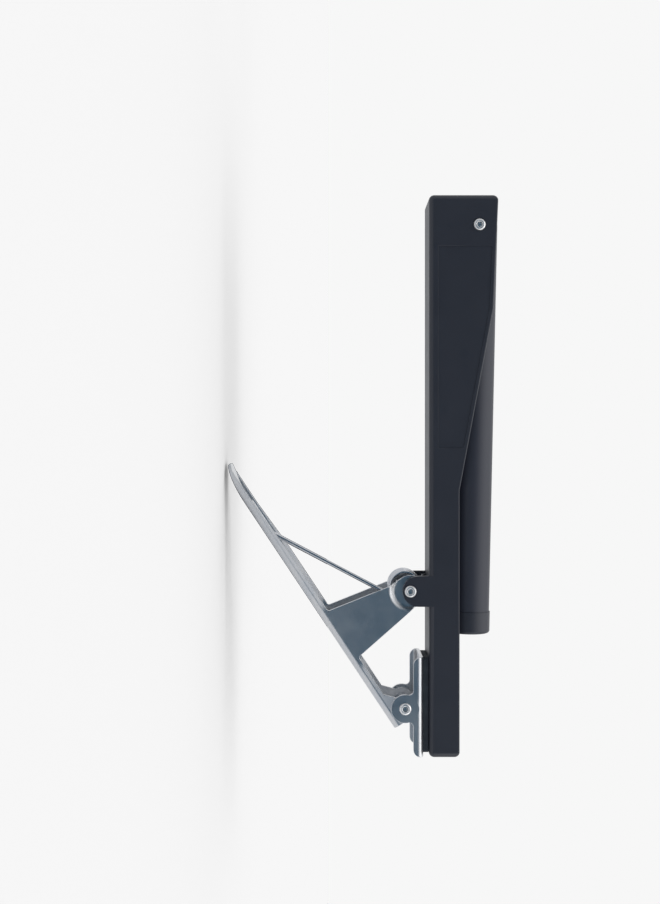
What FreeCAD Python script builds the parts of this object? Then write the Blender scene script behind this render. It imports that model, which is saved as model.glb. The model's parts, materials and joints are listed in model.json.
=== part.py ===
"""Table tennis net clamp with a folding net post.

A moulded channel arm lies on the table top. A sprung steel lever under it carries a swivelling jaw with a
rubber pad, and the post for the net is hinged between the arm's cheeks at its outer end.

Frame in millimetres: z = 0 is the underside of the arm, which rests on the table top, x = 0 is the face of
the two lugs that stops against the table's edge, +X points over the table and y = 0 is the middle of the
width. The clamp is closed and the post is folded down into the arm.
"""
import FreeCAD, Part
import Sketcher
import math
import os

Vector = FreeCAD.Vector
doc = FreeCAD.newDocument("NetClamp")
sheet = doc.addObject("Spreadsheet::Sheet", "Sizes")

# Driving sizes in millimetres and degrees
SIZES = {
    # Arm
    "post_side_gap": 0.5,
    "arm_reach": 52.4,
    "arm_overhang": 142.9,
    "cheek_thickness": 3.0,
    "floor_thickness": 2.5,
    "tip_wall": 2.4,
    "end_wall": 2.85,
    "cheek_height_tip": 10.55,
    "cheek_height_shoulder": 22.3,
    "cheek_height_outer": 24.05,
    "kink_distance": 40.2,
    "shoulder_distance": 103.4,
    "arm_corner_radius": 2.0,
    "arm_edge_radius": 1.8,
    "arm_rim_radius": 0.5,
    "rib_thickness": 1.6,
    "outer_rib_distance": 30.0,
    "inner_rib_distance": 0.8,
    "panel_depth": 0.25,
    "panel_near_end": 55.0,
    "panel_far_end": 125.0,
    "panel_margin": 1.4,
    # Lugs and rivets
    "lug_width": 10.6,
    "lug_nose_height": 3.8,
    "lug_thickness": 2.2,
    "lever_pivot_drop": 6.47,
    "rivet_radius": 1.5,
    "rivet_recess_radius": 0.9,
    "rivet_lip_radius": 0.4,
    "rivet_head_height": 0.8,
    "rivet_rim_height": 0.25,
    "rivet_recess_depth": 1.5,
    "running_clearance": 0.05,
    "seat_gap": 0.05,
    # Post
    "hinge_below_rim": 6.6,
    "fold_angle": 91.25,
    "post_radius": 7.5,
    "post_wall": 1.4,
    "tube_start": 13.0,
    "seam_distance": 135.0,
    "post_stop_gap": 0.15,
    "washer_thickness": 0.6,
    "foot_flat_height": 9.0,
    "foot_plug_length": 12.0,
    "washer_radius": 5.0,
    "cap_lip": 0.3,
    "cap_height": 7.6,
    "cap_plug_length": 8.0,
    "cap_edge_radius": 1.0,
    "slit_width": 2.4,
    "slit_depth": 6.0,
    # Lever
    "sheet_thickness": 1.2,
    "lever_length": 108.6,
    "lever_angle": 33.67,
    "flange_height": 3.4,
    "flange_dip_height": 2.6,
    "flange_dip_start": 4.0,
    "flange_dip_end": 17.0,
    "flange_full_from": 36.0,
    "tip_bend_length": 15.0,
    "tip_bend_rise": 2.2,
    "tip_round_radius": 7.0,
    "bend_radius": 2.3,
    "pivot_along": 71.75,
    "pivot_above": 31.05,
    "ear_start": 61.9,
    "ear_end": 80.8,
    "ear_neck_start": 66.4,
    "ear_neck_above": 25.9,
    "ear_blend_radius": 1.0,
    "ear_round_radius": 5.4,
    "joggle_inner_radius": 5.5,
    "joggle_outer_radius": 7.3,
    "lug_side_gap": 0.3,
    "jaw_pivot_along": 104.6,
    "jaw_pivot_above": 7.0,
    "end_ear_radius": 4.0,
    # Jaw and pad
    "jaw_tip_inset": 0.2,
    "jaw_length": 34.6,
    "jaw_height": 3.5,
    "jaw_corner_radius": 2.7,
    "jaw_bend_radius": 2.2,
    "jaw_side_clearance": 0.3,
    "jaw_ear_radius": 4.9,
    "jaw_ear_blend": 1.5,
    "pad_thickness": 1.85,
    "pad_side_margin": 0.1,
    "pad_outer_margin": 0.3,
    "pad_tip_margin": 1.2,
    "pad_corner_radius": 1.0,
    "closing_gap": 0.12,
    # Spring and its bush
    "bush_radius": 2.05,
    "wire_diameter": 1.5,
    "coil_radius": 4.95,
    "coil_offset_out": 1.2,
    "coil_offset_down": 1.7,
    "coil_end_gap": 0.8,
    "full_turns": 5,
    "ease_angle": 40.0,
    "long_leg_angle": 27.7,
    "short_leg_angle": 40.0,
    "foot_leg_length": 2.6,
    "leg_bend_radius": 2.0,
    # How far a cutting shape runs past the piece that it cuts
    "cut_margin": 1.0,
}


class Size:
    """A number that also keeps the spreadsheet formula it comes from."""

    def __init__(self, value, text=None):
        self.value = float(value)
        self.text = text if text else f"({value:g})"

    def combined(self, other, value, sign, swapped=False):
        left, right = (other, self) if swapped else (self, other)
        return Size(value, f"({left.text} {sign} {right.text})")

    def __add__(self, other):
        other = size(other)
        return self.combined(other, self.value + other.value, "+")

    __radd__ = __add__

    def __sub__(self, other):
        other = size(other)
        return self.combined(other, self.value - other.value, "-")

    def __rsub__(self, other):
        return size(other) - self

    def __mul__(self, other):
        other = size(other)
        return self.combined(other, self.value * other.value, "*")

    __rmul__ = __mul__

    def __truediv__(self, other):
        other = size(other)
        return self.combined(other, self.value / other.value, "/")

    def __neg__(self):
        return size(0) - self


def size(thing):
    return thing if isinstance(thing, Size) else Size(thing)


def cosine(angle):
    return Size(math.cos(math.radians(angle.value)), f"cos({angle.text})")


def sine(angle):
    return Size(math.sin(math.radians(angle.value)), f"sin({angle.text})")


def tangent(angle):
    return Size(math.tan(math.radians(angle.value)), f"tan({angle.text})")


def square_root(thing):
    return Size(math.sqrt(thing.value), f"sqrt({thing.text})")


for row, (alias, number) in enumerate(SIZES.items(), start=1):
    sheet.set(f"A{row}", alias)
    sheet.set(f"B{row}", str(number))
    sheet.setAlias(f"B{row}", alias)
doc.recompute()


def of(alias):
    return Size(sheet.get(alias), f"Sizes.{alias}")


def bind(thing, prop, value):
    thing.setExpression(prop, size(value).text)


def origin_plane(body, role):
    return next(f for f in body.Origin.OriginFeatures if f.Role == role)


def new_body(label):
    body = doc.addObject("PartDesign::Body", label)
    body.Label = label
    return body


def new_sketch(body, name, role, lift=None):
    sketch = body.newObject("Sketcher::SketchObject", name)
    sketch.AttachmentSupport = [(origin_plane(body, role), "")]
    sketch.MapMode = "FlatFace"
    if lift is not None:
        bind(sketch, "AttachmentOffset.Base.z", lift)
    return sketch


def fix_point(sketch, geometry, point, x, y):
    """Ties one point of a sketch to two sizes, measured from the sketch's origin."""
    for kind, value in (("DistanceX", x), ("DistanceY", y)):
        value = size(value)
        index = sketch.addConstraint(Sketcher.Constraint(kind, -1, 1, geometry, point, value.value))
        sketch.setExpression(f"Constraints[{index}]", value.text)


def draw_outline(sketch, points):
    """A closed outline through points (x, y). A third value, a radius, makes the stretch to it an arc."""
    spots = [Vector(size(p[0]).value, size(p[1]).value, 0) for p in points]
    count = len(points)
    for i, point in enumerate(points):
        start, end = spots[i - 1], spots[i]
        if len(point) == 3:
            radius = size(point[2]).value
            chord = end - start
            side = Vector(chord.y, -chord.x, 0).normalize()
            rise = abs(radius) - math.sqrt(max(0, radius ** 2 - (chord.Length / 2) ** 2))
            middle = (start + end) / 2 + side * (rise if radius > 0 else -rise)
            sketch.addGeometry(Part.Arc(start, middle, end), False)
        else:
            sketch.addGeometry(Part.LineSegment(start, end), False)
    for i, point in enumerate(points):
        forward = not (len(point) == 3 and size(point[2]).value < 0)
        end_point = 2 if forward else 1
        following = (i + 1) % count
        next_forward = not (len(points[following]) == 3 and size(points[following][2]).value < 0)
        sketch.addConstraint(
            Sketcher.Constraint("Coincident", i, end_point, following, 1 if next_forward else 2))
        fix_point(sketch, i, end_point, point[0], point[1])
        if len(point) == 3:
            radius = size(point[2])
            bound = radius if radius.value > 0 else -radius
            index = sketch.addConstraint(Sketcher.Constraint("Radius", i, bound.value))
            sketch.setExpression(f"Constraints[{index}]", bound.text)


def draw_circle(sketch, x, y, radius):
    x, y, radius = size(x), size(y), size(radius)
    g = sketch.addGeometry(Part.Circle(Vector(x.value, y.value, 0), Vector(0, 0, 1), radius.value), False)
    fix_point(sketch, g, 3, x, y)
    index = sketch.addConstraint(Sketcher.Constraint("Radius", g, radius.value))
    sketch.setExpression(f"Constraints[{index}]", radius.text)


def extrude(body, kind, name, sketch, length, both_ways=True, reverse=False):
    feature = body.newObject(f"PartDesign::{kind}", name)
    feature.Profile = sketch
    feature.Midplane = both_ways
    feature.Reversed = reverse
    bind(feature, "Length", length)
    sketch.Visibility = False
    doc.recompute()
    return feature


def side_pad(body, name, points, width):
    sketch = new_sketch(body, name + "_outline", "XZ_Plane")
    draw_outline(sketch, points)
    return extrude(body, "Pad", name, sketch, width)


def side_pocket(body, name, points, width):
    sketch = new_sketch(body, name + "_outline", "XZ_Plane")
    draw_outline(sketch, points)
    return extrude(body, "Pocket", name, sketch, width)


def side_hole(body, name, x, z, radius, width):
    sketch = new_sketch(body, name + "_circle", "XZ_Plane")
    draw_circle(sketch, x, z, radius)
    return extrude(body, "Pocket", name, sketch, width)


def round_edges(body, name, wanted, radius):
    """Fillets each edge of the body's tip whose middle point and direction pass the test."""
    tip = body.Tip
    names = []
    for i, edge in enumerate(tip.Shape.Edges, start=1):
        if edge.Degenerated:
            continue
        middle = edge.valueAt((edge.FirstParameter + edge.LastParameter) / 2)
        along = edge.tangentAt((edge.FirstParameter + edge.LastParameter) / 2)
        if wanted(middle, along):
            names.append(f"Edge{i}")
    if not names:
        raise RuntimeError(f"no edge to round for {name}")
    fillet = body.newObject("PartDesign::Fillet", name)
    fillet.Base = (tip, names)
    bind(fillet, "Radius", radius)
    doc.recompute()
    return fillet


def near(a, b, tolerance=0.02):
    return abs(a - b) < tolerance


def place(thing, x, z, axis=None, angle=None):
    """Puts a finished sub-part in the frame, turned about an axis along Y."""
    x, z = size(x), size(z)
    turn = FreeCAD.Rotation(Vector(0, axis, 0), angle.value) if axis else FreeCAD.Rotation()
    thing.Placement = FreeCAD.Placement(Vector(x.value, 0, z.value), turn)
    bind(thing, "Placement.Base.x", x)
    bind(thing, "Placement.Base.z", z)
    if axis:
        bind(thing, "Placement.Rotation.Angle", angle)


# Shared widths and places
margin = of("cut_margin")
inner_width = 2 * (of("post_radius") + of("post_side_gap"))
arm_width = inner_width + 2 * of("cheek_thickness")
lug_inner_width = arm_width - 2 * of("lug_thickness")
ear_inside = lug_inner_width / 2 - of("lug_side_gap") - of("sheet_thickness")
lever_width = arm_width - 2 * (of("jaw_side_clearance") + of("sheet_thickness"))
foot_half_width = inner_width / 2 - of("washer_thickness") - 2 * of("seat_gap")
jaw_outer_end = of("arm_reach") - of("jaw_tip_inset") - of("jaw_length")
hole_radius = of("rivet_radius") + of("running_clearance")
pivot_x = -of("lug_width") / 2
pivot_z = -of("lever_pivot_drop")
hinge_x = of("end_wall") + of("post_stop_gap") + of("post_radius") - of("arm_overhang")
hinge_z = of("cheek_height_outer") - of("hinge_below_rim")
decline = of("fold_angle") - 90
lever_cos, lever_sin = cosine(of("lever_angle")), sine(of("lever_angle"))


def lever_to_frame(along, above):
    """A place on the lever, given along and above its bar, in the part's own frame."""
    run = size(along) - of("pivot_along")
    rise = size(above) - of("pivot_above")
    return (pivot_x + run * lever_cos - rise * lever_sin, pivot_z + run * lever_sin + rise * lever_cos)


lever_x, lever_z = lever_to_frame(0, 0)
jaw_x, jaw_z = lever_to_frame(of("jaw_pivot_along"), of("jaw_pivot_above"))


def post_underside(x):
    """Height of the folded post's lowest line above the arm's underside."""
    return hinge_z - (size(x) - hinge_x) * tangent(decline) - of("post_radius") / cosine(decline)


def make_arm():
    """Moulded channel, open at the top, with two lugs below for the lever's rivet."""
    body = new_body("arm")
    outer, tip = -of("arm_overhang"), of("arm_reach")
    side_pad(body, "arm_block", [
        (outer, 0), (tip, 0), (tip, of("cheek_height_tip")),
        (-of("kink_distance"), of("cheek_height_tip")),
        (-of("shoulder_distance"), of("cheek_height_shoulder")),
        (outer, of("cheek_height_outer"))], arm_width)
    half = arm_width.value / 2
    ends = (outer.value, tip.value)
    round_edges(body, "arm_rim",
                lambda m, d: not near(m.z, 0) and abs(d.x) > 0.5 and near(abs(m.y), half),
                of("arm_rim_radius"))
    round_edges(body, "arm_end_corners",
                lambda m, d: abs(d.y) > 0.9 and not near(m.z, 0) and any(near(m.x, x) for x in ends),
                of("arm_corner_radius"))
    round_edges(body, "arm_lower_edges",
                lambda m, d: near(m.z, 0) or (abs(d.z) > 0.9 and any(near(m.x, x) for x in ends)),
                of("arm_edge_radius"))
    side_pocket(body, "channel", [
        (outer + of("end_wall"), of("floor_thickness")), (tip - of("tip_wall"), of("floor_thickness")),
        (tip - of("tip_wall"), of("cheek_height_outer") + margin),
        (outer + of("end_wall"), of("cheek_height_outer") + margin)], inner_width)
    for name, distance in (("outer_rib", "outer_rib_distance"), ("inner_rib", "inner_rib_distance")):
        x = -of(distance)
        top = post_underside(x) - 2 * of("seat_gap")
        half_rib = of("rib_thickness") / 2
        side_pad(body, name, [
            (x - half_rib, of("floor_thickness") / 2), (x + half_rib, of("floor_thickness") / 2),
            (x + half_rib, top), (x - half_rib, top)], inner_width)
    side_pad(body, "lug_blocks", [
        (-of("lug_width"), -of("lug_nose_height")), (0, -of("lug_nose_height")),
        (0, of("arm_edge_radius") + margin / 2), (-of("lug_width"), of("arm_edge_radius") + margin / 2)],
        arm_width)
    nose = new_sketch(body, "lug_nose_circle", "XZ_Plane")
    draw_circle(nose, pivot_x, -of("lug_nose_height"), of("lug_width") / 2)
    extrude(body, "Pad", "lug_noses", nose, arm_width)
    side_pocket(body, "lug_space", [
        (-of("lug_width") - margin, -of("lug_nose_height") - of("lug_width")),
        (margin, -of("lug_nose_height") - of("lug_width")), (margin, 0), (-of("lug_width") - margin, 0)],
        lug_inner_width)
    side_hole(body, "lever_rivet_holes", pivot_x, pivot_z, hole_radius, arm_width + 2 * margin)
    side_hole(body, "hinge_rivet_holes", hinge_x, hinge_z, hole_radius, arm_width + 2 * margin)
    slope = (of("cheek_height_shoulder") - of("cheek_height_tip")) / (
        of("shoulder_distance") - of("kink_distance"))
    outer_slope = (of("cheek_height_outer") - of("cheek_height_shoulder")) / (
        of("arm_overhang") - of("shoulder_distance"))
    low_line = of("arm_edge_radius") + of("panel_margin")
    near_top = of("cheek_height_tip") + (of("panel_near_end") - of("kink_distance")) * slope
    far_top = of("cheek_height_shoulder") + (of("panel_far_end") - of("shoulder_distance")) * outer_slope
    corners = [
        (-of("panel_far_end"), low_line), (-of("panel_near_end"), low_line),
        (-of("panel_near_end"), near_top - of("panel_margin")),
        (-of("shoulder_distance"), of("cheek_height_shoulder") - of("panel_margin")),
        (-of("panel_far_end"), far_top - of("panel_margin"))]
    for name, lift, reverse in (("near_panel", arm_width / 2, False),
                                ("far_panel", -arm_width / 2, True)):
        sketch = new_sketch(body, name + "_outline", "XZ_Plane", lift)
        draw_outline(sketch, corners)
        before = body.Tip.Shape.Volume
        extrude(body, "Pocket", name, sketch, of("panel_depth"), both_ways=False, reverse=reverse)
        if body.Tip.Shape.Volume > before - 1:
            raise RuntimeError(f"{name} cut nothing")
    return body


def make_rivet(label, x, z, grip):
    """Rivet along Y: a hollow near end rolled outwards to a bead, and a domed head at the far end."""
    body = new_body(label)
    half, high, shank = grip / 2, of("rivet_head_height"), of("rivet_radius")
    recess, lip = of("rivet_recess_radius"), of("rivet_lip_radius")
    head = recess + lip + high
    recess_floor = -half - high + of("rivet_recess_depth")
    dome_rise = high - of("rivet_rim_height")
    dome = (head * head + dome_rise * dome_rise) / (2 * dome_rise)
    sketch = new_sketch(body, label + "_section", "XY_Plane")
    draw_outline(sketch, [
        (0, half + high, dome), (0, recess_floor), (recess, recess_floor), (recess, lip - half - high),
        (head - high, -half - high, lip), (head, -half, high), (shank, -half), (shank, half), (head, half),
        (head, half + of("rivet_rim_height"))])
    turn_about_y(body, label + "_turned", sketch)
    place(body, x, z)
    return body


def turn_about_y(body, name, sketch):
    turned = body.newObject("PartDesign::Revolution", name)
    turned.Profile = sketch
    turned.ReferenceAxis = (sketch, ["V_Axis"])
    turned.Angle = 360
    sketch.Visibility = False
    doc.recompute()


def make_ring(label, x, z, centre_y, outer_radius, length):
    """Plain ring along Y round a rivet, such as a washer or a bush."""
    parts = []
    for role, radius, extra in (("rim", outer_radius, size(0)), ("bore", hole_radius, margin)):
        cylinder = doc.addObject("Part::Cylinder", f"{label}_{role}")
        bind(cylinder, "Radius", radius)
        bind(cylinder, "Height", length + 2 * extra)
        cylinder.Placement = FreeCAD.Placement(Vector(), FreeCAD.Rotation(Vector(1, 0, 0), -90))
        bind(cylinder, "Placement.Base.y", centre_y - length / 2 - extra)
        parts.append(cylinder)
    ring = doc.addObject("Part::Cut", label)
    ring.Base, ring.Tool = parts
    ring.Label = label
    doc.recompute()
    place(ring, x, z)
    return ring


def place_post(thing):
    place(thing, hinge_x, hinge_z, 1, of("fold_angle"))
    return thing


def make_post_foot():
    """Hinge end of the post, drawn upright with the hinge at its origin: a rounded tongue and a plug."""
    body = new_body("post_foot")
    radius, start, trim = of("post_radius"), of("tube_start"), of("post_radius") + margin
    stock = new_sketch(body, "foot_circle", "XY_Plane", -radius)
    draw_circle(stock, 0, 0, radius)
    extrude(body, "Pad", "foot_stock", stock, radius + start, both_ways=False)
    side_pocket(body, "foot_rounding", [
        (radius, 0), (0, -radius, -radius), (-radius, 0, -radius), (-trim, 0), (-trim, -trim),
        (trim, -trim), (trim, 0)], 2 * trim)
    for name, way in (("near", -1), ("far", 1)):
        flat = new_sketch(body, f"{name}_flat_outline", "XY_Plane", -trim)
        draw_outline(flat, [
            (-trim, way * foot_half_width), (trim, way * foot_half_width),
            (trim, way * (trim + margin)), (-trim, way * (trim + margin))])
        extrude(body, "Pocket", f"{name}_flat", flat, trim + of("foot_flat_height"),
                both_ways=False, reverse=True)
    plug = new_sketch(body, "foot_plug_circle", "XY_Plane", start)
    draw_circle(plug, 0, 0, radius - of("post_wall"))
    extrude(body, "Pad", "foot_plug", plug, of("foot_plug_length"), both_ways=False)
    side_hole(body, "hinge_bore", 0, 0, hole_radius, 2 * trim)
    return place_post(body)


def make_post_tube():
    """Round tube between the foot and the cap."""
    body = new_body("post_tube")
    ring = new_sketch(body, "tube_section", "XY_Plane", of("tube_start"))
    draw_circle(ring, 0, 0, of("post_radius"))
    draw_circle(ring, 0, 0, of("post_radius") - of("post_wall"))
    extrude(body, "Pad", "tube_wall", ring, of("seam_distance") - of("tube_start"), both_ways=False)
    return place_post(body)


def make_post_cap():
    """Cap plugged into the top of the tube, with a slit across it for the net's cord."""
    body = new_body("post_cap")
    seam, height, radius = of("seam_distance"), of("cap_height"), of("post_radius") + of("cap_lip")
    head = new_sketch(body, "cap_circle", "XY_Plane", seam)
    draw_circle(head, 0, 0, radius)
    extrude(body, "Pad", "cap_head", head, height, both_ways=False)
    top = (seam + height).value
    round_edges(body, "cap_edge", lambda m, d: near(m.z, top), of("cap_edge_radius"))
    plug = new_sketch(body, "cap_plug_circle", "XY_Plane", seam - of("cap_plug_length"))
    draw_circle(plug, 0, 0, of("post_radius") - of("post_wall"))
    extrude(body, "Pad", "cap_plug", plug, of("cap_plug_length"), both_ways=False)
    slit_floor = seam + height - of("slit_depth")
    side_pocket(body, "cord_slit", [
        (-radius - margin, slit_floor), (radius + margin, slit_floor),
        (radius + margin, seam + height + margin), (-radius - margin, seam + height + margin)],
        of("slit_width"))
    return place_post(body)


def round_bends(body, name, half, level, side, radius, length, start=size(0)):
    """Rounds the two long bends of a folded sheet: side is 1 where they are its top corners, or -1."""
    for way in (-1, 1):
        corner = new_sketch(body, f"{name}_section_{way + 1}", "YZ_Plane", start - margin)
        draw_outline(corner, [
            (way * (half - radius), level), (way * half, level - side * radius, -way * side * radius),
            (way * (half + margin), level - side * radius), (way * (half + margin), level + side * margin),
            (way * (half - radius), level + side * margin)])
        extrude(body, "Pocket", f"{name}_{way + 1}", corner, length + 2 * margin, both_ways=False,
                reverse=True)


def make_lever_bar():
    """Pressed channel bar with a curled tip and two end ears for the jaw's rivet, in the lever's own axes."""
    thick, width, high = of("sheet_thickness"), lever_width, of("flange_height")
    length, rise, bend = of("lever_length"), of("tip_bend_rise"), of("tip_bend_length")
    curl = (bend * bend + rise * rise) / (2 * rise)
    along, above, end_radius = of("jaw_pivot_along"), of("jaw_pivot_above"), of("end_ear_radius")
    deep = above + end_radius + margin
    half = width / 2
    body = new_body("lever_bar")
    side_pad(body, "bar_block", [
        (bend, 0, curl), (length, 0), (along + end_radius, above), (along - end_radius, above),
        (along - 2 * end_radius, high), (of("flange_full_from"), high),
        (of("flange_dip_end"), of("flange_dip_height")), (of("flange_dip_start"), of("flange_dip_height")),
        (0, rise + thick), (0, rise)], width)
    crown = new_sketch(body, "end_ear_circle", "XZ_Plane")
    draw_circle(crown, along, above, end_radius)
    extrude(body, "Pad", "end_ears", crown, width)
    round_bends(body, "bar_bend", half, size(0), -1, of("bend_radius"), length)
    side, inner = half - thick, of("bend_radius") - thick
    section = new_sketch(body, "hollow_section", "YZ_Plane", bend)
    draw_outline(section, [
        (side - inner, thick), (side, thick + inner, inner), (side, deep), (-side, deep),
        (-side, thick + inner), (inner - side, thick, inner)])
    extrude(body, "Pocket", "bar_hollow", section, length, both_ways=False, reverse=True)
    side_pocket(body, "tip_hollow", [
        (bend, thick, curl - thick), (bend, deep), (0, deep), (0, rise + thick)], 2 * side)
    radius = of("tip_round_radius")
    for way in (-1, 1):
        corner = new_sketch(body, f"tip_corner_{way + 1}", "XY_Plane", -margin)
        draw_outline(corner, [
            (radius, way * half, -way * radius), (radius, way * (half + margin)),
            (-margin, way * (half + margin)), (-margin, way * (half - radius)), (0, way * (half - radius))])
        extrude(body, "Pocket", f"tip_rounding_{way + 1}", corner, deep + margin, both_ways=False,
                reverse=True)
    side_hole(body, "jaw_rivet_holes", along, above, hole_radius, width + 2 * margin)
    return body


def make_lever_ears():
    """Two ears that rise from the bar's flanges and step inwards round the lever's rivet."""
    thick, width, low = of("sheet_thickness"), lever_width, of("bend_radius")
    inside, outside = ear_inside, width / 2 - thick
    step_in, step_out = of("joggle_inner_radius"), of("joggle_outer_radius")
    reach = of("pivot_above") + of("ear_end") - of("ear_start")
    sheet_body = new_body("lever_ear_sheets")
    for way, name in ((-1, "near"), (1, "far")):
        section = new_sketch(sheet_body, f"{name}_ear_section", "XY_Plane")
        draw_outline(section, [
            (hole_radius, way * inside), (step_in, way * inside), (step_out, way * outside),
            (reach, way * outside), (reach, way * (outside + thick)), (step_out, way * (outside + thick)),
            (step_in, way * (inside + thick)), (hole_radius, way * (inside + thick))])
        turn_about_y(sheet_body, f"{name}_ear_step", section)
    place(sheet_body, of("pivot_along"), of("pivot_above"))
    outline = new_body("lever_ear_outline")
    start, end, blend = of("ear_start"), of("ear_end"), of("ear_blend_radius")
    along, above, radius = of("pivot_along"), of("pivot_above"), of("ear_round_radius")
    high = of("flange_height")
    side_pad(outline, "ear_prism", [
        (start - blend, low), (end + blend, low), (end + blend, high), (end, high + blend, -blend),
        (along + radius, above), (along, above + radius, radius), (along - radius, above, radius),
        (of("ear_neck_start"), of("ear_neck_above")), (start, high + blend),
        (start - blend, high, -blend)], width + margin)
    ears = doc.addObject("Part::Common", "lever_ears")
    ears.Base, ears.Tool = sheet_body, outline
    doc.recompute()
    return ears


def make_lever():
    """The bar and its ears are one pressing."""
    lever = doc.addObject("Part::Fuse", "lever")
    lever.Base, lever.Tool = make_lever_bar(), make_lever_ears()
    lever.Refine = True
    lever.Label = "lever"
    doc.recompute()
    place(lever, lever_x, lever_z, -1, of("lever_angle"))
    return lever


jaw_face = -of("closing_gap") - of("pad_thickness")


def make_jaw():
    """Pressed channel with open ends and two ears for its rivet. It stays in line with the arm."""
    body = new_body("jaw")
    start, thick, radius = jaw_outer_end, of("sheet_thickness"), of("jaw_ear_radius")
    end, low, blend = start + of("jaw_length"), jaw_face - of("jaw_height"), of("jaw_ear_blend")
    corner = of("jaw_corner_radius")
    side_pad(body, "jaw_block", [
        (start, low + corner), (start + corner, low, corner), (end - corner, low),
        (end, low + corner, corner), (end, jaw_face), (start, jaw_face)], arm_width)
    round_bends(body, "jaw_bend", arm_width / 2, jaw_face, 1, of("jaw_bend_radius"), of("jaw_length"), start)
    drop = low - jaw_z
    reach = square_root((radius + blend) * (radius + blend) - (drop - blend) * (drop - blend))
    share = radius / (radius + blend)
    side_pad(body, "ear_roots", [
        (jaw_x + reach, low, -blend), (jaw_x + reach, low + thick), (jaw_x - reach, low + thick),
        (jaw_x - reach, low), (jaw_x - reach * share, jaw_z + (drop - blend) * share, -blend),
        (jaw_x + reach * share, jaw_z + (drop - blend) * share)], arm_width)
    crown = new_sketch(body, "ear_circle", "XZ_Plane")
    draw_circle(crown, jaw_x, jaw_z, radius)
    extrude(body, "Pad", "jaw_ears", crown, arm_width)
    deep = jaw_z - radius - margin
    side = arm_width / 2 - thick
    inner = of("jaw_bend_radius") - thick
    section = new_sketch(body, "jaw_hollow_section", "YZ_Plane", start - margin)
    ceiling = jaw_face - thick
    draw_outline(section, [
        (-side, deep), (side, deep), (side, ceiling - inner), (side - inner, ceiling, inner),
        (inner - side, ceiling), (-side, ceiling - inner, inner)])
    extrude(body, "Pocket", "jaw_hollow", section, of("jaw_length") + 2 * margin, both_ways=False,
            reverse=True)
    side_hole(body, "jaw_ear_holes", jaw_x, jaw_z, hole_radius, arm_width + 2 * margin)
    return body


def make_jaw_pad():
    """Rubber pad bonded to the jaw's face."""
    body = new_body("jaw_pad")
    start = jaw_outer_end + of("pad_outer_margin")
    end = jaw_outer_end + of("jaw_length") - of("pad_tip_margin")
    flat = arm_width - 2 * (of("jaw_bend_radius") + of("pad_side_margin"))
    side_pad(body, "pad_block", [
        (start, jaw_face), (end, jaw_face), (end, jaw_face + of("pad_thickness")),
        (start, jaw_face + of("pad_thickness"))], flat)
    round_edges(body, "pad_corners", lambda m, d: abs(d.z) > 0.9, of("pad_corner_radius"))
    return body


def arc_between(start, knee, end):
    """Arc from start to end that leaves and arrives along the lines through the knee point."""
    middle = (start + end) / 2
    half_chord = (end - start).Length / 2
    if (knee - middle).Length < 1e-6:
        return Part.LineSegment(start, end).toShape()
    half_turn = math.atan2((knee - middle).Length, half_chord)
    crest = middle + (knee - middle).normalize() * (half_chord * math.tan(half_turn / 2))
    return Part.Arc(start, crest, end).toShape()


def biarc(start, start_way, end, end_way):
    """Two arcs that join two points with given directions, with equal lengths to their knees."""
    across, both = end - start, start_way + end_way
    spare = 4 - both.dot(both)
    lean = across.dot(both)
    reach = (math.sqrt(lean * lean + spare * across.dot(across)) - lean) / spare
    first_knee, second_knee = start + start_way * reach, end - end_way * reach
    joint = (first_knee + second_knee) / 2
    return [arc_between(start, first_knee, joint), arc_between(joint, second_knee, end)]


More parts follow.
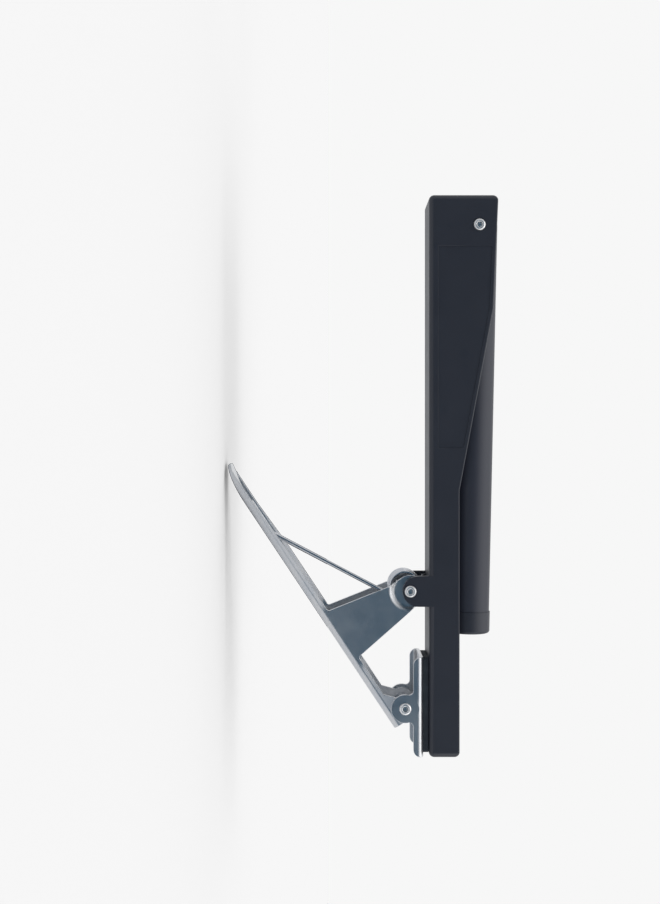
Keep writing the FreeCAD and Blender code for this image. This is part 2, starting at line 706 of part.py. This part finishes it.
def make_spring():
    """Torsion spring round the lever's bush: a short leg under the arm and a long leg on the lever's web."""
    radius, wire = of("coil_radius").value, of("wire_diameter").value
    centre = Vector((pivot_x - of("coil_offset_out")).value, 0, (pivot_z - of("coil_offset_down")).value)
    half_length = (ear_inside - of("coil_end_gap") - of("wire_diameter") / 2).value
    first, last = of("short_leg_angle").value, -of("long_leg_angle").value
    sweep = 360 * of("full_turns").value + first - last
    ease = of("ease_angle").value
    pitch = 2 * half_length / (sweep - ease) * 360
    steps = math.ceil((sweep - 2 * ease) / 90)
    turn = (sweep - 2 * ease) / steps

    def coil_spot(swept):
        """Point and direction after a clockwise sweep, seen from the near side."""
        angle = math.radians(first - swept)
        inside = min(max(swept - ease, 0), sweep - 2 * ease)
        y = half_length - pitch * inside / 360
        if swept >= ease:
            y -= pitch * ease / 720
        if swept > sweep - ease:
            y = -half_length
        slope = -pitch / (2 * math.pi * radius) if ease <= swept <= sweep - ease + 1e-6 else 0
        way = Vector(math.sin(angle), slope, -math.cos(angle)).normalize()
        return centre + Vector(radius * math.cos(angle), y, radius * math.sin(angle)), way

    sweeps = [0] + [ease + i * turn for i in range(steps + 1)] + [sweep]
    spots = [coil_spot(swept) for swept in sweeps]
    edges = []
    coil_start, start_way = spots[0]
    foot_z = -of("seat_gap").value - wire / 2
    knee = coil_start - start_way * ((foot_z - coil_start.z) / -start_way.z)
    foot_way = Vector(1, 0, 0)
    trim = of("leg_bend_radius").value * math.tan(math.acos(foot_way.dot(start_way)) / 2)
    bend_start, bend_end = knee - foot_way * trim, knee + start_way * trim
    foot_end = bend_start - foot_way * of("foot_leg_length").value
    edges.append(Part.LineSegment(foot_end, bend_start).toShape())
    edges.append(arc_between(bend_start, knee, bend_end))
    edges.append(Part.LineSegment(bend_end, coil_start).toShape())
    for (a, a_way), (b, b_way) in zip(spots, spots[1:]):
        edges.extend(biarc(a, a_way, b, b_way))
    leg_start, leg_way = spots[-1]
    lever_turn = math.radians(of("lever_angle").value)
    web_up = Vector(-math.sin(lever_turn), 0, math.cos(lever_turn))
    web_spot = Vector(lever_x.value, 0, lever_z.value) + web_up * (
        of("sheet_thickness").value + of("seat_gap").value + wire / 2)
    run = (web_spot - leg_start).dot(web_up) / leg_way.dot(web_up)
    edges.append(Part.LineSegment(leg_start, leg_start + leg_way * run).toShape())

    path = Part.Wire(edges)
    ring = Part.Wire(Part.Circle(foot_end, foot_way, wire / 2).toShape())
    tube = path.makePipeShell([ring], True, False)
    print(f"spring: pitch {pitch:.3f}, wire volume {tube.Volume:.1f}, "
          f"section times length {math.pi * wire ** 2 / 4 * path.Length:.1f}")
    line = path.discretize(Distance=0.5)
    apart = int(math.pi * radius / 0.5)
    least = min((line[i] - line[j]).Length for i in range(len(line)) for j in range(i + apart, len(line)))
    print(f"spring: least gap to itself {least - wire:.3f}")
    if least - wire < 0.4:
        raise RuntimeError("the spring's turns are too close")
    spring = doc.addObject("Part::Feature", "torsion_spring")
    spring.Shape = tube
    spring.Label = "torsion_spring"
    spring.Placement = FreeCAD.Placement()
    return spring


washer_centre = (inner_width / 2 + foot_half_width) / 2
pieces = [
    make_arm(),
    make_rivet("hinge_rivet", hinge_x, hinge_z, arm_width + 2 * of("seat_gap")),
    make_ring("hinge_washer_near", hinge_x, hinge_z, -washer_centre, of("washer_radius"),
              of("washer_thickness")),
    make_ring("hinge_washer_far", hinge_x, hinge_z, washer_centre, of("washer_radius"),
              of("washer_thickness")),
    make_post_foot(),
    make_post_tube(),
    make_post_cap(),
    make_lever(),
    make_rivet("lever_rivet", pivot_x, pivot_z, arm_width + 2 * of("seat_gap")),
    make_ring("spring_bush", pivot_x, pivot_z, size(0), of("bush_radius"),
              2 * (ear_inside - of("seat_gap"))),
    make_spring(),
    make_jaw(),
    make_jaw_pad(),
    make_rivet("jaw_rivet", jaw_x, jaw_z, arm_width + 2 * of("seat_gap")),
    make_ring("jaw_bush", jaw_x, jaw_z, size(0), of("bush_radius"),
              lever_width - 2 * (of("sheet_thickness") + of("seat_gap"))),
]
doc.recompute()

for thing in doc.Objects:
    if any(word in thing.State for word in ("Invalid", "Error")):
        raise RuntimeError(f"{thing.Name} failed")
for piece in pieces:
    if piece.Shape.isNull() or not piece.Shape.isValid() or not piece.Shape.Solids:
        raise RuntimeError(f"{piece.Label} has no valid shape")

os.makedirs("parts", exist_ok=True)
for piece in pieces:
    piece.Shape.exportStep(f"parts/{piece.Label}.step")
    print(piece.Label, len(piece.Shape.Solids), round(piece.Shape.Volume, 1))
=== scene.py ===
"""Table tennis net clamp: a black channel arm with its folding post, a plated lever and a padded jaw."""
import json
import math

import bmesh
import bpy
from mathutils import Matrix, Vector

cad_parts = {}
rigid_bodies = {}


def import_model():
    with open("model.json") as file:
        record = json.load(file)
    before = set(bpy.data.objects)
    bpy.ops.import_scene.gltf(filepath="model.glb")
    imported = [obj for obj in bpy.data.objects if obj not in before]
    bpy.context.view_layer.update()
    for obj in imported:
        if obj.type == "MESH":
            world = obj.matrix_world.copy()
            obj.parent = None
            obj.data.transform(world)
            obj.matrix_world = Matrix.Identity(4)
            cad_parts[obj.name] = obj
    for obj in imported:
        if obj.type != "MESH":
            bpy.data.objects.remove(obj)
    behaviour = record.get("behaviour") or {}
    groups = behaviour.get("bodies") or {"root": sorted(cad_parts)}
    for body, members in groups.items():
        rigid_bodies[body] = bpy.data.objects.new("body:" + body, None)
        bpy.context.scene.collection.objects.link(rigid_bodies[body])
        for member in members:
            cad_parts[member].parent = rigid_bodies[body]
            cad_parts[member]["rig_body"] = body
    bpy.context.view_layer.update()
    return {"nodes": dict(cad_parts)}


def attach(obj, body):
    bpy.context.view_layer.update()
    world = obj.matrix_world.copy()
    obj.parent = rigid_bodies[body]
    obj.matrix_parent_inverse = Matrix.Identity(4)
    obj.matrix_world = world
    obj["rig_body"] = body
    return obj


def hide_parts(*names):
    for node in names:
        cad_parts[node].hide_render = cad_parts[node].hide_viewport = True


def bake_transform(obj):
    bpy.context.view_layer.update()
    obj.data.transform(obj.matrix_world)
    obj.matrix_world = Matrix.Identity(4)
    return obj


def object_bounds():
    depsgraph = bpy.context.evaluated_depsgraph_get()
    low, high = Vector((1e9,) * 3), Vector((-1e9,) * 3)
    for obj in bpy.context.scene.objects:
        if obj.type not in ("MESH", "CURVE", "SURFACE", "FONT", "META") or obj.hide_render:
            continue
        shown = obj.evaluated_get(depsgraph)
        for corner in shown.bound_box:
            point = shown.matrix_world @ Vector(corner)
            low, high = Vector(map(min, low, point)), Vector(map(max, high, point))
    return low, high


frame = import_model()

nodes = frame["nodes"]
MM = 0.001


# Arm and its lugs: one injection moulding in black glass-filled nylon. The tool's surface was spark
# eroded, so the skin is an even fine satin, a little glossier on the lugs and rims where hands rub it.
# The post's foot and its cap are mouldings of the same kind.

FLAT_ANGLE = math.radians(0.4)
CORNER_ANGLE = math.radians(46)
JOINED_WITHIN = 0.001 * MM
MOULDED_CORNER = 0.12 * MM
NYLON_DARK, NYLON_PALE = (0.0155, 0.0185, 0.028), (0.0195, 0.023, 0.034)
NYLON_CLOUD, NYLON_RUB, NYLON_GRAIN = 14 * MM, 5 * MM, 0.22 * MM
NYLON_GRAIN_DEPTH = 0.010 * MM


class Value:
    """One output of a node. Arithmetic on it adds the nodes that work the result out."""

    def __init__(self, owner, socket):
        self.owner, self.socket = owner, socket

    def maths(self, operation, first, second=0.0):
        return self.owner.node("ShaderNodeMath", {"operation": operation}, {0: first, 1: second})

    def __add__(self, other):
        return self.maths("ADD", self, other)

    def __radd__(self, other):
        return self.maths("ADD", other, self)

    def __sub__(self, other):
        return self.maths("SUBTRACT", self, other)

    def __rsub__(self, other):
        return self.maths("SUBTRACT", other, self)

    def __mul__(self, other):
        return self.maths("MULTIPLY", self, other)

    def __rmul__(self, other):
        return self.maths("MULTIPLY", other, self)

    def sign(self):
        return self.maths("SIGN", self)

    def least(self, floor):
        return self.maths("MAXIMUM", self, floor)

    def between(self, low, high):
        """0 below low, 1 above high and a smooth step from one to the other."""
        return self.owner.node("ShaderNodeMapRange", {"interpolation_type": "SMOOTHSTEP"}, {
            "Value": self, "From Min": low, "From Max": high})


class NodeSet:
    """The shader nodes of one surface finish or of the room's light."""

    def __init__(self, tree):
        self.tree = tree

    def node(self, kind, settings=None, inputs=None, output=0):
        """Adds a node: its settings come first, then the value or link of each socket."""
        made = self.tree.nodes.new(kind)
        for setting, choice in (settings or {}).items():
            setattr(made, setting, choice)
        for socket, content in (inputs or {}).items():
            self.feed(made.inputs[socket], content)
        return Value(self, made.outputs[output])

    def feed(self, socket, content):
        """Links a value to a socket, or writes a number, a vector or a colour in it."""
        if isinstance(content, Value):
            self.tree.links.new(content.socket, socket)
        elif socket.type == "RGBA":
            socket.default_value = (*content, 1.0)
        else:
            socket.default_value = content


class Finish(NodeSet):
    """A surface finish on one material, with its pattern in the object's own coordinates."""

    def __init__(self, name, metallic=0.0):
        self.material = bpy.data.materials.new(name)
        self.material.use_nodes = True
        super().__init__(self.material.node_tree)
        self.skin = self.tree.nodes["Principled BSDF"]
        self.skin.inputs["Metallic"].default_value = metallic
        self.place = self.node("ShaderNodeTexCoord", output="Object")

    def noise(self, size, detail=2.0, stretch=(1.0, 1.0, 1.0)):
        """Noise from 0 to 1 with features of about the given size in metres, longer where stretched."""
        place = self.node("ShaderNodeMapping", inputs={
            "Vector": self.place, "Scale": tuple(1.0 / (size * s) for s in stretch)}, output="Vector")
        return self.node("ShaderNodeTexNoise", inputs={"Vector": place, "Scale": 1.0, "Detail": detail})

    def split(self, vector):
        """The three numbers of a vector."""
        parts = self.node("ShaderNodeSeparateXYZ", inputs={"Vector": vector})
        return [Value(self, socket) for socket in parts.socket.node.outputs]

    def tint(self, amount, low, high):
        """A colour between two colours."""
        return self.node("ShaderNodeMix", {"data_type": "RGBA"}, {
            "Factor": amount, 6: low, 7: high}, output=2)

    def paint(self, **skin):
        """Sets the sockets of the skin, named in lower case with underscores."""
        for name, content in skin.items():
            self.feed(self.skin.inputs[name.replace("_", " ").title().replace("Ior", "IOR")], content)

    def bump(self, height, depth=1.0):
        """Relief of the given depth in metres from a height between 0 and 1, or from a height in metres."""
        relief = self.node("ShaderNodeBump", inputs={"Strength": 1.0, "Distance": depth, "Height": height},
                           output="Normal")
        self.feed(self.skin.inputs["Normal"], relief)

    def dress(self, *names):
        """Gives the finish to CAD pieces that keep their own shape."""
        for name in names:
            nodes[name].data.materials.clear()
            nodes[name].data.materials.append(self.material)


def whole_copy(name):
    """A copy of a CAD piece with its loose triangles joined and its flat faces whole."""
    shape = bmesh.new()
    shape.from_mesh(nodes[name].data)
    bmesh.ops.remove_doubles(shape, verts=shape.verts, dist=JOINED_WITHIN)
    bmesh.ops.dissolve_limit(shape, angle_limit=FLAT_ANGLE, verts=shape.verts, edges=shape.edges)
    return shape


def ease(shape, edges, radius, steps=2):
    """Rounds edges by a small radius."""
    bmesh.ops.bevel(shape, geom=edges, offset=radius, offset_type="OFFSET", segments=steps, profile=0.5,
                    affect="EDGES", material=-1)


def ease_corners(shape, radius):
    """Rounds the outer corners and leaves the curved faces as they are."""
    ease(shape, [edge for edge in shape.edges
                 if edge.is_convex and edge.calc_face_angle(0.0) > CORNER_ANGLE], radius)


def put_in_place(shape, name, finish, twist=None):
    """Makes the eased copy a piece that stands for the CAD piece. With a twist, the piece is fixed where it
    stands and goes with no body; the twist's bodies and places are not used."""
    mesh = bpy.data.meshes.new(name + "_eased")
    shape.to_mesh(mesh)
    shape.free()
    mesh.shade_smooth()
    mesh.set_sharp_from_angle(angle=CORNER_ANGLE)
    mesh.materials.append(finish.material)
    piece = bpy.data.objects.new(name + "_eased", mesh)
    bpy.context.scene.collection.objects.link(piece)
    piece.modifiers.new("even_shading", "WEIGHTED_NORMAL").keep_sharp = True
    if twist:
        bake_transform(piece)
    else:
        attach(piece, nodes[name]["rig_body"])
    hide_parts(name)


moulded = Finish("moulded_black_nylon")
moulded_cloud = moulded.noise(NYLON_CLOUD, 3.0)
moulded_grain = moulded.noise(NYLON_GRAIN, 2.0)
moulded_rub = moulded.noise(NYLON_RUB, 4.0).between(0.58, 0.74)
moulded.paint(
    base_color=moulded.tint(moulded_cloud, NYLON_DARK, NYLON_PALE),
    roughness=0.38 + 0.08 * moulded_cloud - 0.06 * moulded_rub,
    specular_ior_level=0.42)
moulded.bump(moulded_grain, NYLON_GRAIN_DEPTH)
moulded.dress("post_cap")
for name in ("arm", "post_foot"):
    shape = whole_copy(name)
    ease_corners(shape, MOULDED_CORNER)
    put_in_place(shape, name, moulded)


# Post: a drawn aluminium tube with a black satin coat. Drawing leaves faint lines along it, and the
# net's sleeve has polished its length a little.

COAT_DARK, COAT_PALE = (0.018, 0.021, 0.033), (0.023, 0.0265, 0.040)
COAT_CLOUD, COAT_CLOUD_STRETCH = 9 * MM, (3.0, 1.0, 1.0)
DRAWN_LINES, DRAWN_LINE_STRETCH, DRAWN_LINE_DEPTH = 0.5 * MM, (90.0, 1.0, 1.0), 0.006 * MM

coated = Finish("black_coated_tube")
coated_lines = coated.noise(DRAWN_LINES, 2.0, DRAWN_LINE_STRETCH)
coated_cloud = coated.noise(COAT_CLOUD, 3.0, COAT_CLOUD_STRETCH)
coated.paint(
    base_color=coated.tint(coated_cloud, COAT_DARK, COAT_PALE),
    roughness=0.36 + 0.07 * coated_cloud + 0.05 * coated_lines,
    specular_ior_level=0.4)
coated.bump(coated_lines, DRAWN_LINE_DEPTH)
coated.dress("post_tube")


# Lever and jaw: blanked and bent from 1.2 mm steel sheet and zinc plated in a barrel, so the skin is
# cloudy and blue-grey, with rolling lines under the plating. The bent flanges spring back and lean a
# little outwards, which is why they look lighter than the flat ears.

SHEET_CORNER = 0.13 * MM
ZINC_DARK, ZINC_PALE = (0.54, 0.56, 0.59), (0.63, 0.635, 0.645)
ZINC_CLOUD, ZINC_SPECKS = 9 * MM, 0.9 * MM
ROLLED_LINES, ROLLED_LINE_STRETCH, ROLLED_LINE_DEPTH = 0.35 * MM, (30.0, 1.0, 12.0), 0.004 * MM
SHEET_WAVES, SHEET_WAVE_DEPTH = 15 * MM, 0.13 * MM
BEND_HEIGHT = 2.2 * MM
OUTER_LEAN = math.tan(math.radians(12.0))
INNER_LEAN = math.tan(math.radians(24.0))
EAR_LEAN = math.tan(math.radians(8.0))
EARS_FROM, EARS_TO, EARS_FADE = 58 * MM, 82 * MM, 4 * MM
LEVER_TIP, LEVER_TURN = (-47.8 * MM, 0.0, -72.05 * MM), math.radians(-33.67)
LEVER_PIVOT_X, LEVER_PIVOT_Z = -5.3 * MM, -6.47 * MM
STEP_RADII, STEP_SEARCH = (5.5 * MM, 7.3 * MM), 0.03 * MM
STEP_LEAST_FOLD, STEP_MOST_FOLD = 0.2, 0.8
STEP_ROUNDING = 0.5 * MM
JAW_FACE, JAW_TURN = (0.0, 0.0, -1.8 * MM), math.radians(180.0)


def plate(name):
    """Zinc on rolled sheet, with its relief as a height in metres."""
    finish = Finish(name, metallic=1.0)
    cloud = finish.noise(ZINC_CLOUD, 5.0)
    lines = finish.noise(ROLLED_LINES, 2.0, ROLLED_LINE_STRETCH)
    specks = finish.noise(ZINC_SPECKS, 4.0).between(0.5, 0.85)
    finish.paint(
        base_color=finish.tint(cloud.between(0.3, 0.7), ZINC_DARK, ZINC_PALE),
        roughness=0.25 + 0.08 * cloud + 0.04 * lines + 0.06 * specks)
    waves = finish.noise(SHEET_WAVES, 1.0)
    return finish, SHEET_WAVE_DEPTH * waves + ROLLED_LINE_DEPTH * lines


def lean(finish, origin, turn, outer, inner, ear_inner):
    """The height of flanges that lean outwards: outer faces rise away from the bend, inner faces fall.
    The ears between them are upright outside, and their inner faces lean by ear_inner."""
    place = finish.node("ShaderNodeMapping", {"vector_type": "TEXTURE"}, {
        "Vector": finish.place, "Location": origin, "Rotation": (0.0, turn, 0.0)}, output="Vector")
    along, _, above = finish.split(place)
    across = finish.split(finish.place)[1]
    facing = finish.split(finish.node("ShaderNodeNewGeometry", output="True Normal"))[1] * across.sign()
    ears = along.between(EARS_FROM, EARS_FROM + EARS_FADE) - along.between(EARS_TO, EARS_TO + EARS_FADE)
    rise = facing.least(0.0) * outer * (1.0 - ears)
    fall = (0.0 - facing).least(0.0) * (inner + (ear_inner - inner) * ears)
    return (above - BEND_HEIGHT).least(0.0) * (rise - fall)


def is_at_step(vertex):
    """Whether a point lies on one of the two rings where an ear steps inwards round the pivot."""
    radius = math.hypot(vertex.co.x - LEVER_PIVOT_X, vertex.co.z - LEVER_PIVOT_Z)
    return any(abs(radius - step) < STEP_SEARCH for step in STEP_RADII)


lever_plate, lever_relief = plate("zinc_plated_lever")
lever_plate.bump(lever_relief + lean(
    lever_plate, LEVER_TIP, LEVER_TURN, OUTER_LEAN, INNER_LEAN, EAR_LEAN))
lever_shape = whole_copy("lever")
ease_corners(lever_shape, SHEET_CORNER)
step_edges = [edge for edge in lever_shape.edges if all(is_at_step(vertex) for vertex in edge.verts)
              and STEP_LEAST_FOLD < edge.calc_face_angle(0.0) < STEP_MOST_FOLD]
ease(lever_shape, step_edges, STEP_ROUNDING, 3)
put_in_place(lever_shape, "lever", lever_plate)

jaw_plate, jaw_relief = plate("zinc_plated_jaw")
jaw_plate.bump(jaw_relief + lean(jaw_plate, JAW_FACE, JAW_TURN, 0.0, EAR_LEAN, EAR_LEAN))
jaw_shape = whole_copy("jaw")
ease_corners(jaw_shape, SHEET_CORNER)
put_in_place(jaw_shape, "jaw", jaw_plate)


# Washers and bushes: small turned and blanked steel parts on the rivets, plated in the same barrel as
# the sheet. The washers brake the post, and the bushes keep the lever's ears apart.

small_plate, small_relief = plate("zinc_plated_small_parts")
small_plate.bump(small_relief)
small_plate.dress("hinge_washer_near", "hinge_washer_far", "spring_bush", "jaw_bush")


# Rivets: semi-tubular steel rivets, nickel bright, each with a rolled head. Their tone varies in small
# clouds over the whole head.

NICKEL_DARK, NICKEL_PALE = (0.66, 0.66, 0.67), (0.82, 0.815, 0.81)
NICKEL_CLOUD, NICKEL_DEPTH = 1.1 * MM, 0.012 * MM

bright = Finish("bright_rivet", metallic=1.0)
bright_cloud = bright.noise(NICKEL_CLOUD, 3.0)
bright.paint(
    base_color=bright.tint(bright_cloud, NICKEL_DARK, NICKEL_PALE),
    roughness=0.3 + 0.14 * bright_cloud)
bright.bump(bright_cloud, NICKEL_DEPTH)
bright.dress("lever_rivet", "jaw_rivet", "hinge_rivet")


# Spring: cold drawn steel wire, coiled and then zinc plated, so it is a little brighter than the sheet.
# Its short foot stays under the arm and its long leg goes with the lever, so the coil between them twists.

COIL_TOP, COIL_BOTTOM = (0.0, 0.0, -2.5 * MM), (0.0, 0.0, -13.9 * MM)
WIRE_DARK, WIRE_PALE = (0.5, 0.52, 0.56), (0.62, 0.635, 0.66)
WIRE_CLOUD, WIRE_GRAIN, WIRE_GRAIN_DEPTH = 2.5 * MM, 0.2 * MM, 0.004 * MM

wire = Finish("plated_spring_wire", metallic=1.0)
wire_cloud = wire.noise(WIRE_CLOUD, 3.0)
wire.paint(
    base_color=wire.tint(wire_cloud, WIRE_DARK, WIRE_PALE),
    roughness=0.17 + 0.08 * wire_cloud)
wire.bump(wire.noise(WIRE_GRAIN, 2.0), WIRE_GRAIN_DEPTH)
put_in_place(whole_copy("torsion_spring"), "torsion_spring", wire,
             ("arm_body", "lever_body", COIL_TOP, COIL_BOTTOM))


# Pad: a strip of black rubber, cut from sheet and glued to the jaw's face. Talc stays in its pores and
# greys it in patches.

RUBBER_CLEAN, RUBBER_DUSTY = (0.012, 0.019, 0.029), (0.028, 0.038, 0.050)
RUBBER_PORES, RUBBER_PORE_DEPTH, RUBBER_DUST = 0.5 * MM, 0.03 * MM, 3 * MM

rubber = Finish("black_rubber")
rubber_pores = rubber.noise(RUBBER_PORES, 3.0)
rubber_dust = rubber.noise(RUBBER_DUST, 4.0).between(0.45, 0.8)
rubber.paint(
    base_color=rubber.tint(rubber_dust, RUBBER_CLEAN, RUBBER_DUSTY),
    roughness=0.78 + 0.1 * rubber_dust)
rubber.bump(rubber_pores, RUBBER_PORE_DEPTH)
rubber.dress("jaw_pad")


# Studio: the clamp stands on a wide pale floor in an even pale room, under one large soft lamp above
# and one beside it. A low dark blue flag stands before it with its foot on the floor, as photographers
# use for flat metal. The floor is clear from below, so that the clamp's underside can be looked at too.

FLOOR_SIZE, FLOOR_GAP, FLOOR_COLOUR = 30.0, 1 * MM, (0.85, 0.85, 0.85)
FLAG_WIDTH, FLAG_TOP, FLAG_DISTANCE, FLAG_FOOT = 0.70, 0.20, 0.32, 0.155
FLAG_COLOUR = (0.02, 0.09, 0.155)
CLOTH_THICKNESS = 1 * MM
AMBIENT_COLOUR, AMBIENT_STRENGTH = (0.95, 0.97, 1.0), 0.75
BACKDROP_COLOUR = (0.93, 0.93, 0.93)
DULL = 0.9
CAMERA_PLACE = (-0.05363, -0.4456, -0.03436)
CAMERA_LENS, CAMERA_SENSOR, CAMERA_NEAR = 50.0, 36.0, 0.01
middle = Vector((-0.045, 0.0, -0.02))
floor_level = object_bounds()[0][2] - FLOOR_GAP


def studio_sheet(name, width, height, place, facing, coat):
    """A flat sheet that faces a direction and belongs to the studio."""
    shape = bmesh.new()
    bmesh.ops.create_grid(shape, x_segments=1, y_segments=1, size=0.5)
    turn = Vector(facing).to_track_quat("Z", "Y").to_matrix().to_4x4()
    stretch = Matrix.Diagonal((width, height, 1.0, 1.0))
    bmesh.ops.transform(shape, verts=shape.verts, matrix=Matrix.Translation(place) @ turn @ stretch)
    mesh = bpy.data.meshes.new(name)
    shape.to_mesh(mesh)
    shape.free()
    mesh.materials.append(coat.material)
    sheet = bpy.data.objects.new(name, mesh)
    bpy.context.scene.collection.objects.link(sheet)
    return sheet


floor_coat = Finish("floor_paint")
under_floor = floor_coat.node("ShaderNodeNewGeometry", output="Backfacing")
floor_coat.paint(base_color=FLOOR_COLOUR, roughness=DULL, specular_ior_level=0.0, alpha=1.0 - under_floor)
floor = studio_sheet("studio_floor", FLOOR_SIZE, FLOOR_SIZE, (0.0, 0.0, floor_level), (0, 0, 1), floor_coat)
floor.is_shadow_catcher = True

flag_cloth = Finish("flag_cloth")
flag_cloth.paint(base_color=FLAG_COLOUR, roughness=DULL)
flag = studio_sheet("dark_flag", FLAG_WIDTH, FLAG_TOP - floor_level,
                    (middle.x, -FLAG_DISTANCE, (FLAG_TOP + floor_level) / 2), (0, 1, 0), flag_cloth)
flag_foot = studio_sheet("dark_flag_foot", FLAG_WIDTH, FLAG_FOOT,
                         (middle.x, FLAG_FOOT / 2 - FLAG_DISTANCE, floor_level + CLOTH_THICKNESS),
                         (0, 0, 1), flag_cloth)
for cloth in (flag, flag_foot):
    cloth.visible_camera = cloth.visible_shadow = cloth.visible_diffuse = False

world = bpy.data.worlds.new("studio")
world.use_nodes = True
bpy.context.scene.world = world
room = NodeSet(world.node_tree)
camera_ray, glossy_ray, transmission_ray = (
    room.node("ShaderNodeLightPath", output=f"Is {ray} Ray") for ray in ("Camera", "Glossy", "Transmission"))
ambient = room.node("ShaderNodeBackground", inputs={"Color": AMBIENT_COLOUR, "Strength": AMBIENT_STRENGTH})
backdrop = room.node("ShaderNodeBackground", inputs={"Color": BACKDROP_COLOUR})
surroundings = room.node("ShaderNodeMixShader", inputs={
    0: camera_ray + glossy_ray + transmission_ray, 1: ambient, 2: backdrop})
room.feed(world.node_tree.nodes["World Output"].inputs["Surface"], surroundings)


def softbox(name, place, size, power):
    """A square lamp that faces the middle of the clamp."""
    lamp = bpy.data.lights.new(name, "AREA")
    lamp.shape, lamp.size, lamp.energy = "SQUARE", size, power
    holder = bpy.data.objects.new(name, lamp)
    holder.location = place
    holder.rotation_euler = (middle - Vector(place)).to_track_quat("-Z", "Y").to_euler()
    bpy.context.scene.collection.objects.link(holder)


softbox("high_lamp", place=(-0.10, -0.27, 1.08), size=1.1, power=4.2)
softbox("side_lamp", place=(0.95, -0.75, 0.35), size=1.0, power=3.5)

view = bpy.data.cameras.new("photo_camera")
view.lens, view.sensor_width, view.clip_start = CAMERA_LENS, CAMERA_SENSOR, CAMERA_NEAR
camera = bpy.data.objects.new("photo_camera", view)
right, up, back = Vector((0, 0, 1)), Vector((-1, 0, 0)), Vector((0, -1, 0))
turned = Matrix((right, up, back)).transposed().to_4x4()
camera.matrix_world = Matrix.Translation(CAMERA_PLACE) @ turned
bpy.context.scene.collection.objects.link(camera)
bpy.context.scene.camera = camera
bpy.context.scene.view_settings.view_transform = "Standard"
